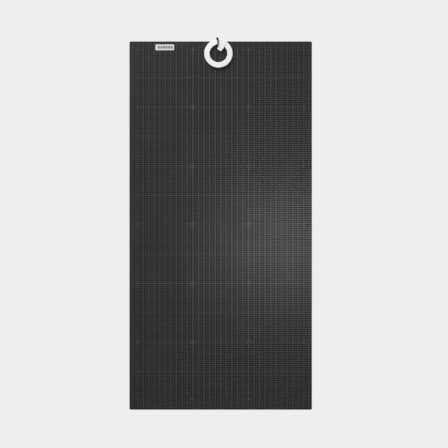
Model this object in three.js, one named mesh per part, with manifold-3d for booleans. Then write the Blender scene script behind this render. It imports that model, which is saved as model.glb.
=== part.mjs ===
// Flexible solar sheet: a thin four-layer laminate with 36 half-cut cells, a junction box on its rear face,
// and a white hanging ring with a sprung gate, tied to the top margin by a short cord.
//
// Frame, in millimetres: the origin is the centre of the laminate's rear face. +Z is up towards the ring, +X is to
// the right as seen from the front, and the front faces -Y.

import * as THREE from 'three';
import { mergeVertices } from 'three/addons/utils/BufferGeometryUtils.js';
import Module from 'manifold-3d';

const wasm = await Module();
wasm.setup();

// ---------------------------------------------------------------- driving dimensions

// Facets of round faces, and how far a cutting tool stands proud of what it cuts.
const RING_FACETS = 80;
const GATE_FACETS = 96;
const KNUCKLE_FACETS = 32;
const PIN_FACETS = 16;
const HOLE_FACETS = 24;
const HEX_FACETS = 6;
const KNOT_FACETS = 20;
const CORNER_FACETS = 4;
const OVERCUT = 1;

// Laminate outline.
const SHEET_WIDTH = 540;
const SHEET_HEIGHT = 1090;
const CORNER_RADIUS = 4;
const TOP = SHEET_HEIGHT / 2;

// Layers, from the rear face at y = 0 towards the front.
const REAR_SHEET_FRONT = -0.75;
const REAR_ENCAPSULANT_FRONT = -1.5;
const FRONT_ENCAPSULANT_FRONT = -2;
const SHEET_FRONT = -2.5;

// Half-cut cells: three strings side by side, twelve cells in each.
const STRINGS = ['a', 'b', 'c'];
const CELLS_PER_STRING = 12;
const CELL_WIDTH = 166;
const CELL_HEIGHT = 83;
const CELL_THICKNESS = 0.25;
const CELL_CHAMFER = 8.25;
const COLUMN_PITCH = 168;
const ROW_PITCH = 87;
const TOP_MARGIN = 22;
const CELL_POCKET_GAP = 0.25;
const CELLS_TOP = TOP - TOP_MARGIN;
const CELLS_BOTTOM = CELLS_TOP - (CELLS_PER_STRING - 1) * ROW_PITCH - CELL_HEIGHT;

// Flat ribbons. Bus ribbons lie level with the cells, and runners lie behind the cells, next to the rear sheet.
const RIBBON_THICKNESS = 0.25;
const BUS_WIDTH = 3.5;
const BUS_TO_CELL = 0.5;
const BUS_END_INSET = 6;
const RUNNER_WIDTH = 6;
const RUNNER_FRONT = REAR_SHEET_FRONT - RIBBON_THICKNESS;
const MARGIN_RUNNER_X = 258;

// Junction box, placed by its centre on the rear face.
const BOX_X = 84;
const BOX_Z = 485;
const BOX_WIDTH = 120;
const BOX_HEIGHT = 64;
const BOX_CORNER = 6;
const BOX_WALL = 2.5;
const BOX_FLOOR = 2;
const BOX_RIM = 13;
const SEAL_THICKNESS = 1;
const LID_THICKNESS = 2.5;
const LID_SKIRT_DEPTH = 2.5;
const LID_SKIRT_WALL = 1.5;
const LID_SKIRT_GAP = 0.25;

// Terminals, diodes and the slot for the ribbons, in the box's own frame.
const TERMINAL_SPACING = 34;
const TERMINAL_WIDTH = 12;
const TERMINAL_LENGTH = 14;
const TERMINAL_HEIGHT = 6;
const TERMINAL_TOP = BOX_FLOOR + TERMINAL_HEIGHT;
const SLOT_WIDTH = 78;
const SLOT_LOW = 13;
const SLOT_HIGH = 16;
const RIBBON_LEG_Z = 14;
const RIBBON_FOOT_LOW = 3;
const DIODE_BODY = { width: 14, height: 6, length: 12 };
const DIODE_BASE = 4;
const DIODE_LEAD = { width: 30, height: 0.5, length: 3 };

// Cable glands in the box's lower wall.
const GLAND_SPACING = 60;
const GLAND_Y = 7.5;
const GLAND_BORE_RADIUS = 3.75;
const GLAND_STEM_RADIUS = 5;
const GLAND_STEM_GAP = 0.25;
const GLAND_NUT_RADIUS = 7;
const GLAND_NUT_LENGTH = 9;
const GLAND_NOSE_ROOT_RADIUS = 6;
const GLAND_NOSE_RADIUS = 5.5;
const GLAND_NOSE_LENGTH = 4;

// Eyelet in the top margin.
const EYELET_X = -12;
const EYELET_Z = TOP - 13.5;
const EYELET_HOLE_RADIUS = 2.2;
const EYELET_BARREL_RADIUS = 3.25;
const EYELET_FLANGE_RADIUS = 5;
const EYELET_FLANGE_THICKNESS = 0.5;
const EYELET_GAP = 0.25;

// Label near the top left corner.
const LABEL_LEFT = -192.75;
const LABEL_TOP = TOP - 9;
const LABEL_WIDTH = 54.75;
const LABEL_HEIGHT = 16.75;
const LABEL_THICKNESS = 0.25;

// Hanging ring, placed by its centre. Its flat faces look along Y.
const RING_X = -6.5;
const RING_Y = -8;
const RING_Z = TOP - 36.5;
const RING_OUTER_RADIUS = 42;
const RING_INNER_RADIUS = 26;
const RING_THICKNESS = 7;
const RING_EDGE_RADIUS = 1.75;

// Gate of the ring, in the ring's own frame (x, z). It turns about a pin near the band's inner edge.
const PIN_DISTANCE = 29;
const PIN_ANGLE = THREE.MathUtils.degToRad(48.8);
const PIN_RADIUS = 1.25;
const PIN_HOLE_RADIUS = 1.5;
const PIN_RECESS = 0.25;
const KNUCKLE_RADIUS = 3;
const KNUCKLE_GAP = 0.3;
const TONGUE_THICKNESS = 3;
const EAR_GAP = 0.25;
const GATE_REACH = 20.9;
const SEAM_GAP = 0.15;
const TAB_OUTLINE = [
  [1, 27.5], [-0.8, 21.6], [-3.8, 13.2], [6.9, 6.2], [14.3, 14.6], [16.4, 17.8], [16.5, 24],
];
const TAB_FRONT = -3;
const TAB_BACK = 2;
const DIMPLE_X = 5.3;
const DIMPLE_Z = 16.9;
const DIMPLE_RADIUS = 1.5;
const DIMPLE_DEPTH = 2.5;

// Link cord: through the eyelet, up over the ring's band and the top edge, and down the rear into its knot.
const CORD_RADIUS = 1.75;
const CORD_STEPS = 72;
const CORD_POINTS = [
  [-11, 4.5, -6.5],
  [-11.3, 4.5, -9.5],
  [-11.7, 4, -12],
  [-12, 1.8, -13.5],
  [-12, -1.25, -13.5],
  [-12, -5, -13.7],
  [-12, -9.5, -14.6],
  [-11.8, -12.3, -14.5],
  [-10.6, -13.9, -12.9],
  [-8.6, -14, -10.4],
  [-7.8, -13.9, -7],
  [-7.7, -13.8, -3],
  [-8.1, -13.8, 1],
  [-8.8, -13.8, 5],
  [-9.2, -12.8, 8.2],
  [-9.6, -9.8, 9.9],
  [-10.3, -5.5, 9.8],
  [-11, -0.8, 8],
  [-11.2, 2.8, 4.4],
  [-11.1, 4.4, 0],
  [-11, 4.5, -3.5],
];
const KNOT_X = -11;
const KNOT_Y = 4.5;
const KNOT_Z = TOP - 5;
const KNOT_RADIUS = 3.75;
const KNOT_LENGTH = 9;
const KNOT_END_SHARE = 0.7;

// ---------------------------------------------------------------- solid helpers

// Turns a closed three.js geometry into a solid for cutting and joining.
function toSolid(geometry) {
  const bare = geometry.clone();
  bare.deleteAttribute('normal');
  bare.deleteAttribute('uv');
  const merged = mergeVertices(bare, 1e-4);
  return new wasm.Manifold(new wasm.Mesh({
    numProp: 3,
    vertProperties: new Float32Array(merged.attributes.position.array),
    triVerts: new Uint32Array(merged.index.array),
  }));
}

// Turns a solid back into a three.js geometry.
function toGeometry(solid) {
  const mesh = solid.getMesh();
  const geometry = new THREE.BufferGeometry();
  geometry.setAttribute('position', new THREE.BufferAttribute(new Float32Array(mesh.vertProperties), 3));
  geometry.setIndex(new THREE.BufferAttribute(new Uint32Array(mesh.triVerts), 1));
  geometry.computeVertexNormals();
  return geometry;
}

function joined(first, ...others) {
  return others.reduce((sum, other) => sum.add(toSolid(other)), toSolid(first));
}

function cutFrom(solid, ...tools) {
  return tools.reduce((rest, tool) => rest.subtract(toSolid(tool)), solid);
}

// A box from its lowest to its highest corner.
function boxBetween(low, high) {
  const size = high.map((value, axis) => value - low[axis]);
  const middle = high.map((value, axis) => (value + low[axis]) / 2);
  return new THREE.BoxGeometry(...size).translate(...middle);
}

// Extrudes an outline drawn in (x, z) along Y, from front to back.
function plate(shape, front, back) {
  const geometry = new THREE.ExtrudeGeometry(shape, {
    depth: back - front,
    bevelEnabled: false,
    curveSegments: CORNER_FACETS,
  });
  const standUp = new THREE.Matrix4().set(
    1, 0, 0, 0,
    0, 0, -1, back,
    0, 1, 0, 0,
    0, 0, 0, 1,
  );
  return geometry.applyMatrix4(standUp);
}

// A cylinder along Y, centred on (x, z), from front to back.
function discAlongY(radius, x, z, front, back, sides) {
  return new THREE.CylinderGeometry(radius, radius, back - front, sides)
    .translate(x, (front + back) / 2, z);
}

// A cylinder along Z, centred on (x, y), from low to high.
function discAlongZ(radiusHigh, radiusLow, x, y, low, high, sides) {
  return new THREE.CylinderGeometry(radiusHigh, radiusLow, high - low, sides)
    .rotateX(Math.PI / 2)
    .translate(x, y, (low + high) / 2);
}

function roundedRectangle(width, height, radius) {
  const shape = new THREE.Shape();
  const halfWidth = width / 2;
  const halfHeight = height / 2;
  const corners = [
    [halfWidth - radius, halfHeight - radius, 0],
    [radius - halfWidth, halfHeight - radius, 0.5],
    [radius - halfWidth, radius - halfHeight, 1],
    [halfWidth - radius, radius - halfHeight, 1.5],
  ];
  shape.moveTo(halfWidth, halfHeight - radius);
  for (const [x, z, start] of corners) {
    shape.absarc(x, z, radius, start * Math.PI, (start + 0.5) * Math.PI, false);
  }
  return shape;
}

function outline(points) {
  return new THREE.Shape(points.map(([x, z]) => new THREE.Vector2(x, z)));
}

// A closed body of revolution about Y: the profile runs anticlockwise in (radius, y).
function turnedRing(profile, segments) {
  const points = [...profile, profile[0]].map(([radius, y]) => new THREE.Vector2(radius, y));
  return new THREE.LatheGeometry(points, segments);
}

// ---------------------------------------------------------------- materials

const paint = (color, roughness, metalness = 0) =>
  () => new THREE.MeshStandardMaterial({ color, roughness, metalness });

const finishes = {
  wovenFront: paint(0x39393b, 0.5),
  encapsulant: paint(0x202226, 0.6),
  backSheet: paint(0x1c1c1e, 0.7),
  cell: paint(0x15171f, 0.35),
  ribbon: paint(0xb9bab8, 0.35, 0.9),
  label: paint(0xe4e4e2, 0.5),
  ringPlastic: paint(0xeeeeec, 0.35),
  steel: paint(0x8d8f92, 0.35, 0.9),
  cord: paint(0x141414, 0.9),
  eyelet: paint(0x191919, 0.45, 0.4),
  boxPlastic: paint(0x1a1a1b, 0.55),
  seal: paint(0x2b2b2b, 0.9),
  brass: paint(0xb99a4e, 0.35, 0.9),
  diode: paint(0x0f0f10, 0.4),
  gland: paint(0x161617, 0.5),
};

const solarSheet = new THREE.Group();
const junctionBox = new THREE.Group();
junctionBox.position.set(BOX_X, 0, BOX_Z);
const ring = new THREE.Group();
ring.position.set(RING_X, RING_Y, RING_Z);
solarSheet.add(junctionBox, ring);

function addPiece(group, name, geometry, finish) {
  const mesh = new THREE.Mesh(geometry, finish());
  mesh.name = name;
  group.add(mesh);
}

// ---------------------------------------------------------------- cells and ribbons

// One half cell, centred on its own place. Half-cut cells keep the chamfers of the full cell on one long side only:
// the upper half at its top corners, the lower half at its bottom corners.
function halfCellOutline(centreX, top, isUpperHalf, grow) {
  const left = centreX - CELL_WIDTH / 2 - grow;
  const right = centreX + CELL_WIDTH / 2 + grow;
  const high = top + grow;
  const low = top - CELL_HEIGHT - grow;
  const chamfered = isUpperHalf ? high : low;
  const plain = isUpperHalf ? low : high;
  const inward = isUpperHalf ? -CELL_CHAMFER : CELL_CHAMFER;
  return outline([
    [left, plain],
    [left, chamfered + inward],
    [left + CELL_CHAMFER, chamfered],
    [right - CELL_CHAMFER, chamfered],
    [right, chamfered + inward],
    [right, plain],
  ]);
}

function cellPlaces() {
  const places = [];
  STRINGS.forEach((string, column) => {
    for (let row = 0; row < CELLS_PER_STRING; row += 1) {
      places.push({
        name: `cell_${string}${String(row + 1).padStart(2, '0')}`,
        x: (column - 1) * COLUMN_PITCH,
        top: CELLS_TOP - row * ROW_PITCH,
        isUpperHalf: row % 2 === 0,
      });
    }
  });
  return places;
}

function halfCell({ x, top, isUpperHalf }, grow = 0) {
  const shape = halfCellOutline(x, top, isUpperHalf, grow);
  return plate(shape, REAR_ENCAPSULANT_FRONT, REAR_ENCAPSULANT_FRONT + CELL_THICKNESS);
}

// Where the ribbons run, in (x, z).
const topBus = { low: CELLS_TOP + BUS_TO_CELL, high: CELLS_TOP + BUS_TO_CELL + BUS_WIDTH };
const bottomBus = { low: CELLS_BOTTOM - BUS_TO_CELL - BUS_WIDTH, high: CELLS_BOTTOM - BUS_TO_CELL };
const columnEdge = COLUMN_PITCH - CELL_WIDTH / 2 + BUS_END_INSET;
const outerEdge = COLUMN_PITCH + CELL_WIDTH / 2 - BUS_END_INSET;
const innerEdge = CELL_WIDTH / 2 - BUS_END_INSET;
const legZ = BOX_Z + RIBBON_LEG_Z;
const halfRunner = RUNNER_WIDTH / 2;

// A bus ribbon, level with the cells.
function bus(left, right, span) {
  return boxBetween(
    [left, REAR_ENCAPSULANT_FRONT, span.low],
    [right, REAR_ENCAPSULANT_FRONT + RIBBON_THICKNESS, span.high],
  );
}

// The short step that brings a ribbon from the cells' level back to the rear sheet.
function step(centreX, span) {
  return boxBetween(
    [centreX - halfRunner, REAR_ENCAPSULANT_FRONT, span.low],
    [centreX + halfRunner, REAR_SHEET_FRONT, span.high],
  );
}

function runner(left, right, low, high) {
  return boxBetween([left, RUNNER_FRONT, low], [right, REAR_SHEET_FRONT, high]);
}

// The ribbon's end in the box: a leg up through the slot, and a foot folded onto its terminal.
function boxLead(terminalX) {
  const left = BOX_X + terminalX - halfRunner;
  const right = BOX_X + terminalX + halfRunner;
  const footTop = TERMINAL_TOP + RIBBON_THICKNESS;
  const leg = boxBetween([left, RUNNER_FRONT, legZ], [right, footTop, legZ + RIBBON_THICKNESS]);
  const foot = boxBetween([left, TERMINAL_TOP, BOX_Z + RIBBON_FOOT_LOW], [right, footTop, legZ + RIBBON_THICKNESS]);
  return [leg, foot];
}

function plusRibbon() {
  const dropX = -columnEdge - halfRunner;
  const end = BOX_X - TERMINAL_SPACING + halfRunner;
  return joined(
    bus(-outerEdge, -columnEdge, topBus),
    step(dropX, topBus),
    runner(dropX - halfRunner, dropX + halfRunner, legZ - halfRunner, topBus.high),
    runner(dropX - halfRunner, end, legZ - halfRunner, legZ + halfRunner),
    ...boxLead(-TERMINAL_SPACING),
  );
}

function minusRibbon() {
  const right = MARGIN_RUNNER_X + halfRunner;
  const end = BOX_X + TERMINAL_SPACING - halfRunner;
  return joined(
    bus(columnEdge, right, bottomBus),
    step(MARGIN_RUNNER_X, bottomBus),
    runner(MARGIN_RUNNER_X - halfRunner, right, bottomBus.low, legZ + halfRunner),
    runner(end, right, legZ - halfRunner, legZ + halfRunner),
    ...boxLead(TERMINAL_SPACING),
  );
}

function topLink() {
  return joined(
    bus(-innerEdge, outerEdge, topBus),
    step(BOX_X, topBus),
    runner(BOX_X - halfRunner, BOX_X + halfRunner, legZ - halfRunner, topBus.high),
    ...boxLead(0),
  );
}

const ribbons = {
  string_link_bottom: toSolid(bus(-outerEdge, innerEdge, bottomBus)),
  string_link_top: topLink(),
  ribbon_plus: plusRibbon(),
  ribbon_minus: minusRibbon(),
};

for (const place of cellPlaces()) {
  addPiece(solarSheet, place.name, halfCell(place), finishes.cell);
}
for (const [name, solid] of Object.entries(ribbons)) {
  addPiece(solarSheet, name, toGeometry(solid), finishes.ribbon);
}

// ---------------------------------------------------------------- laminate layers

function layer(front, back) {
  return toSolid(plate(roundedRectangle(SHEET_WIDTH, SHEET_HEIGHT, CORNER_RADIUS), front, back));
}

function eyeletHole() {
  const radius = EYELET_BARREL_RADIUS + EYELET_GAP;
  return discAlongY(radius, EYELET_X, EYELET_Z, SHEET_FRONT - OVERCUT, OVERCUT, HOLE_FACETS);
}

function rearSheet() {
  const slot = boxBetween(
    [BOX_X - SLOT_WIDTH / 2, REAR_SHEET_FRONT - OVERCUT, BOX_Z + SLOT_LOW],
    [BOX_X + SLOT_WIDTH / 2, OVERCUT, BOX_Z + SLOT_HIGH],
  );
  return cutFrom(layer(REAR_SHEET_FRONT, 0), eyeletHole(), slot);
}

// The rear encapsulant has a pocket for every cell and ribbon.
function rearEncapsulant() {
  const pockets = cellPlaces().map((place) => halfCell(place, CELL_POCKET_GAP));
  const body = cutFrom(layer(REAR_ENCAPSULANT_FRONT, REAR_SHEET_FRONT), eyeletHole(), ...pockets);
  return Object.values(ribbons).reduce((rest, ribbon) => rest.subtract(ribbon), body);
}

addPiece(solarSheet, 'rear_sheet', toGeometry(rearSheet()), finishes.backSheet);
addPiece(solarSheet, 'rear_encapsulant', toGeometry(rearEncapsulant()), finishes.encapsulant);
addPiece(
  solarSheet,
  'front_encapsulant',
  toGeometry(cutFrom(layer(FRONT_ENCAPSULANT_FRONT, REAR_ENCAPSULANT_FRONT), eyeletHole())),
  finishes.encapsulant,
);
addPiece(
  solarSheet,
  'front_sheet',
  toGeometry(cutFrom(layer(SHEET_FRONT, FRONT_ENCAPSULANT_FRONT), eyeletHole())),
  finishes.wovenFront,
);

// ---------------------------------------------------------------- label and eyelet

function label() {
  return boxBetween(
    [LABEL_LEFT, SHEET_FRONT - LABEL_THICKNESS, LABEL_TOP - LABEL_HEIGHT],
    [LABEL_LEFT + LABEL_WIDTH, SHEET_FRONT, LABEL_TOP],
  );
}

// Two flanges clamp the laminate round a barrel.
function eyelet() {
  const front = SHEET_FRONT - EYELET_FLANGE_THICKNESS;
  return turnedRing([
    [EYELET_HOLE_RADIUS, front],
    [EYELET_FLANGE_RADIUS, front],
    [EYELET_FLANGE_RADIUS, SHEET_FRONT],
    [EYELET_BARREL_RADIUS, SHEET_FRONT],
    [EYELET_BARREL_RADIUS, 0],
    [EYELET_FLANGE_RADIUS, 0],
    [EYELET_FLANGE_RADIUS, EYELET_FLANGE_THICKNESS],
    [EYELET_HOLE_RADIUS, EYELET_FLANGE_THICKNESS],
  ], HOLE_FACETS).translate(EYELET_X, 0, EYELET_Z);
}

addPiece(solarSheet, 'label', label(), finishes.label);
addPiece(solarSheet, 'eyelet', eyelet(), finishes.eyelet);

// ---------------------------------------------------------------- junction box

// The tray: floor, walls, the slot for the ribbons and the holes for the glands.
function boxBase() {
  const outer = plate(roundedRectangle(BOX_WIDTH, BOX_HEIGHT, BOX_CORNER), 0, BOX_RIM);
  const inner = plate(
    roundedRectangle(BOX_WIDTH - 2 * BOX_WALL, BOX_HEIGHT - 2 * BOX_WALL, BOX_CORNER - BOX_WALL),
    BOX_FLOOR,
    BOX_RIM + OVERCUT,
  );
  const slot = boxBetween(
    [-SLOT_WIDTH / 2, -OVERCUT, SLOT_LOW],
    [SLOT_WIDTH / 2, BOX_FLOOR + OVERCUT, SLOT_HIGH],
  );
  const glandHoles = [-1, 1].map((side) => discAlongZ(
    GLAND_STEM_RADIUS + GLAND_STEM_GAP,
    GLAND_STEM_RADIUS + GLAND_STEM_GAP,
    side * GLAND_SPACING / 2,
    GLAND_Y,
    -BOX_HEIGHT / 2 - OVERCUT,
    BOX_WALL + OVERCUT - BOX_HEIGHT / 2,
    HOLE_FACETS,
  ));
  return cutFrom(toSolid(outer), inner, slot, ...glandHoles);
}

// The seal lies on the tray's rim.
function boxSeal() {
  const outer = plate(roundedRectangle(BOX_WIDTH, BOX_HEIGHT, BOX_CORNER), BOX_RIM, BOX_RIM + SEAL_THICKNESS);
  const inner = plate(
    roundedRectangle(BOX_WIDTH - 2 * BOX_WALL, BOX_HEIGHT - 2 * BOX_WALL, BOX_CORNER - BOX_WALL),
    BOX_RIM - OVERCUT,
    BOX_RIM + SEAL_THICKNESS + OVERCUT,
  );
  return cutFrom(toSolid(outer), inner);
}

// The lid: a plate on the seal, with a skirt that clips inside the tray's walls.
function boxLid() {
  const under = BOX_RIM + SEAL_THICKNESS;
  const skirtInset = 2 * (BOX_WALL + LID_SKIRT_GAP);
  const skirtCorner = BOX_CORNER - BOX_WALL - LID_SKIRT_GAP;
  const top = plate(roundedRectangle(BOX_WIDTH, BOX_HEIGHT, BOX_CORNER), under, under + LID_THICKNESS);
  const skirt = plate(
    roundedRectangle(BOX_WIDTH - skirtInset, BOX_HEIGHT - skirtInset, skirtCorner),
    under - LID_SKIRT_DEPTH,
    under + LID_THICKNESS / 2,
  );
  const hollowInset = skirtInset + 2 * LID_SKIRT_WALL;
  const hollow = plate(
    roundedRectangle(BOX_WIDTH - hollowInset, BOX_HEIGHT - hollowInset, skirtCorner - LID_SKIRT_WALL),
    under - LID_SKIRT_DEPTH - OVERCUT,
    under,
  );
  return cutFrom(joined(top, skirt), hollow);
}

function terminal(centreX) {
  return boxBetween(
    [centreX - TERMINAL_WIDTH / 2, BOX_FLOOR, -TERMINAL_LENGTH / 2],
    [centreX + TERMINAL_WIDTH / 2, TERMINAL_TOP, TERMINAL_LENGTH / 2],
  );
}

// A bypass diode bridges two terminals with its flat leads.
function bypassDiode(centreX) {
  const body = boxBetween(
    [centreX - DIODE_BODY.width / 2, DIODE_BASE, -DIODE_BODY.length / 2],
    [centreX + DIODE_BODY.width / 2, DIODE_BASE + DIODE_BODY.height, DIODE_BODY.length / 2],
  );
  const lead = boxBetween(
    [centreX - DIODE_LEAD.width / 2, TERMINAL_TOP, -DIODE_LEAD.length / 2],
    [centreX + DIODE_LEAD.width / 2, TERMINAL_TOP + DIODE_LEAD.height, DIODE_LEAD.length / 2],
  );
  return joined(body, lead);
}

// A cable gland: a stem through the wall, a hexagonal nut, a tapered nose and a bore for the cable.
function cableGland(x) {
  const wallOutside = -BOX_HEIGHT / 2;
  const stemTop = wallOutside + BOX_WALL;
  const nutLow = wallOutside - GLAND_NUT_LENGTH;
  const noseLow = nutLow - GLAND_NOSE_LENGTH;
  const stem = discAlongZ(
    GLAND_STEM_RADIUS, GLAND_STEM_RADIUS, x, GLAND_Y, wallOutside - OVERCUT, stemTop, HOLE_FACETS,
  );
  const nut = discAlongZ(GLAND_NUT_RADIUS, GLAND_NUT_RADIUS, x, GLAND_Y, nutLow, wallOutside, HEX_FACETS);
  const nose = discAlongZ(
    GLAND_NOSE_ROOT_RADIUS, GLAND_NOSE_RADIUS, x, GLAND_Y, noseLow, nutLow + OVERCUT, HOLE_FACETS,
  );
  const bore = discAlongZ(
    GLAND_BORE_RADIUS, GLAND_BORE_RADIUS, x, GLAND_Y, noseLow - OVERCUT, stemTop + OVERCUT, HOLE_FACETS,
  );
  return cutFrom(joined(stem, nut, nose), bore);
}

addPiece(junctionBox, 'junction_box_base', toGeometry(boxBase()), finishes.boxPlastic);
addPiece(junctionBox, 'junction_box_seal', toGeometry(boxSeal()), finishes.seal);
addPiece(junctionBox, 'junction_box_lid', toGeometry(boxLid()), finishes.boxPlastic);
addPiece(junctionBox, 'terminal_plus', terminal(-TERMINAL_SPACING), finishes.brass);
addPiece(junctionBox, 'terminal_mid', terminal(0), finishes.brass);
addPiece(junctionBox, 'terminal_minus', terminal(TERMINAL_SPACING), finishes.brass);
addPiece(junctionBox, 'bypass_diode_1', toGeometry(bypassDiode(-TERMINAL_SPACING / 2)), finishes.diode);
addPiece(junctionBox, 'bypass_diode_2', toGeometry(bypassDiode(TERMINAL_SPACING / 2)), finishes.diode);
addPiece(junctionBox, 'gland_plus', toGeometry(cableGland(-GLAND_SPACING / 2)), finishes.gland);
addPiece(junctionBox, 'gland_minus', toGeometry(cableGland(GLAND_SPACING / 2)), finishes.gland);

// ---------------------------------------------------------------- hanging ring, gate and pin

const pinX = PIN_DISTANCE * Math.cos(PIN_ANGLE);
const pinZ = PIN_DISTANCE * Math.sin(PIN_ANGLE);
const halfRing = RING_THICKNESS / 2;

// The whole band before the gate is cut out of it: a flat ring with rounded edges.
function band() {
  const corners = [
    [RING_OUTER_RADIUS - RING_EDGE_RADIUS, RING_EDGE_RADIUS - halfRing, -0.5],
    [RING_OUTER_RADIUS - RING_EDGE_RADIUS, halfRing - RING_EDGE_RADIUS, 0],
    [RING_INNER_RADIUS + RING_EDGE_RADIUS, halfRing - RING_EDGE_RADIUS, 0.5],
    [RING_INNER_RADIUS + RING_EDGE_RADIUS, RING_EDGE_RADIUS - halfRing, 1],
  ];
  const profile = corners.flatMap(([radius, y, start]) => [0, 1, 2].map((part) => {
    const angle = (start + part / 4) * Math.PI;
    return [radius + RING_EDGE_RADIUS * Math.cos(angle), y + RING_EDGE_RADIUS * Math.sin(angle)];
  }));
  return toSolid(turnedRing(profile, RING_FACETS));
}

// The stretch of band that belongs to the gate: within reach of the pin, and on the left of the line from the
// ring's centre through the pin. Grown by a gap, it is also the space that the ring leaves for the gate.
function gateSpace(grow) {
  const reach = toSolid(discAlongY(
    GATE_REACH + grow, pinX, pinZ, -halfRing - OVERCUT, halfRing + OVERCUT, GATE_FACETS,
  ));
  const size = 4 * RING_OUTER_RADIUS;
  const leftOfLine = boxBetween([-size, -size, -grow], [size, size, size]);
  leftOfLine.rotateY(-PIN_ANGLE);
  return reach.intersect(toSolid(leftOfLine));
}

// A knuckle disc round the pin, between two depths.
function knuckle(radius, front, back) {
  return discAlongY(radius, pinX, pinZ, front, back, KNUCKLE_FACETS);
}

function pinHole() {
  return knuckle(PIN_HOLE_RADIUS, -halfRing - OVERCUT, halfRing + OVERCUT);
}

// The ring keeps two ears round the pin, and leaves room between them for the gate's tongue.
function hangRing() {
  const tongueRoom = TONGUE_THICKNESS / 2 + EAR_GAP;
  const open = band().subtract(gateSpace(SEAM_GAP));
  const ears = open
    .add(toSolid(knuckle(KNUCKLE_RADIUS, -halfRing, -tongueRoom)))
    .add(toSolid(knuckle(KNUCKLE_RADIUS, tongueRoom, halfRing)));
  return cutFrom(ears, knuckle(KNUCKLE_RADIUS + KNUCKLE_GAP, -tongueRoom, tongueRoom), pinHole());
}

// The gate: its stretch of band, the tongue on the pin, and the thumb tab with a dimple.
function ringGate() {
  const tongue = TONGUE_THICKNESS / 2;
  const earRoom = KNUCKLE_RADIUS + KNUCKLE_GAP;
  const stretch = band().intersect(gateSpace(-SEAM_GAP));
  const cleared = cutFrom(
    stretch,
    knuckle(earRoom, -halfRing - OVERCUT, -tongue),
    knuckle(earRoom, tongue, halfRing + OVERCUT),
  );
  const dimple = discAlongY(
    DIMPLE_RADIUS, DIMPLE_X, DIMPLE_Z, TAB_FRONT - OVERCUT, TAB_FRONT + DIMPLE_DEPTH, HOLE_FACETS,
  );
  const body = cleared
    .add(toSolid(knuckle(KNUCKLE_RADIUS, -tongue, tongue)))
    .add(cutFrom(
      toSolid(plate(outline(TAB_OUTLINE), TAB_FRONT, TAB_BACK)),
      knuckle(earRoom, TAB_FRONT - OVERCUT, -tongue),
      knuckle(earRoom, tongue, TAB_BACK + OVERCUT),
    ));
  return cutFrom(body, dimple, pinHole());
}

addPiece(ring, 'hang_ring', toGeometry(hangRing()), finishes.ringPlastic);
addPiece(ring, 'ring_gate', toGeometry(ringGate()), finishes.ringPlastic);
addPiece(
  ring,
  'gate_pin',
  discAlongY(PIN_RADIUS, pinX, pinZ, PIN_RECESS - halfRing, halfRing - PIN_RECESS, PIN_FACETS),
  finishes.steel,
);

// ---------------------------------------------------------------- link cord

// The cord's ends meet inside its knot, so cord and knot are one closed loop.
function linkCord() {
  const route = new THREE.CatmullRomCurve3(
    CORD_POINTS.map(([x, y, belowTop]) => new THREE.Vector3(x, y, TOP + belowTop)),
    false,
    'centripetal',
  );
  const section = new THREE.Shape();
  section.absarc(0, 0, CORD_RADIUS, 0, 2 * Math.PI, false);
  const tube = new THREE.ExtrudeGeometry(section, {
    steps: CORD_STEPS,
    curveSegments: CORNER_FACETS,
    bevelEnabled: false,
    extrudePath: route,
  });
  const half = KNOT_LENGTH / 2;
  const knot = new THREE.LatheGeometry([
    new THREE.Vector2(0, -half),
    new THREE.Vector2(KNOT_RADIUS * KNOT_END_SHARE, -half),
    new THREE.Vector2(KNOT_RADIUS, -half / 2),
    new THREE.Vector2(KNOT_RADIUS, half / 2),
    new THREE.Vector2(KNOT_RADIUS * KNOT_END_SHARE, half),
    new THREE.Vector2(0, half),
  ], KNOT_FACETS).rotateX(Math.PI / 2).translate(KNOT_X, KNOT_Y, KNOT_Z);
  return joined(tube, knot);
}

addPiece(solarSheet, 'link_cord', toGeometry(linkCord()), finishes.cord);

export default solarSheet;
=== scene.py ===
import math

import bmesh
import bpy
import numpy as np
from mathutils import Matrix, Vector


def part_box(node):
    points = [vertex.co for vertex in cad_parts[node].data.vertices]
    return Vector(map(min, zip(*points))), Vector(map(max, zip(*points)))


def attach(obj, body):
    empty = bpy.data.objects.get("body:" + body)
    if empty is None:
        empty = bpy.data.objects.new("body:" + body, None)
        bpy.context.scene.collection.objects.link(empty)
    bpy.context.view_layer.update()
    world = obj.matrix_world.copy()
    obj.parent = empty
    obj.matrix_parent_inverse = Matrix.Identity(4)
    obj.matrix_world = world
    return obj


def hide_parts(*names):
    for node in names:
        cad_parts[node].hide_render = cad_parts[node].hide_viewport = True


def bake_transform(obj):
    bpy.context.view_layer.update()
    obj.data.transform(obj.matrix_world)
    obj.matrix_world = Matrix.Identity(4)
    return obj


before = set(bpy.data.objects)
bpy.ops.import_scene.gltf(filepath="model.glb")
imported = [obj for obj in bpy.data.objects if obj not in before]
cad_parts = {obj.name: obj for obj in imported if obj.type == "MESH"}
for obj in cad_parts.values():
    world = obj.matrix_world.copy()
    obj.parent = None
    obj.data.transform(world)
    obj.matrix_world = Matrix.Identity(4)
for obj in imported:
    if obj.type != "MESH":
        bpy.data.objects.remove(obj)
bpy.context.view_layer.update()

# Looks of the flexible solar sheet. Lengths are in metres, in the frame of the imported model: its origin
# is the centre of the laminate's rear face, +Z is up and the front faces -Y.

MM = 0.001
scene = bpy.context.scene

# -------- places read from the frame

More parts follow.
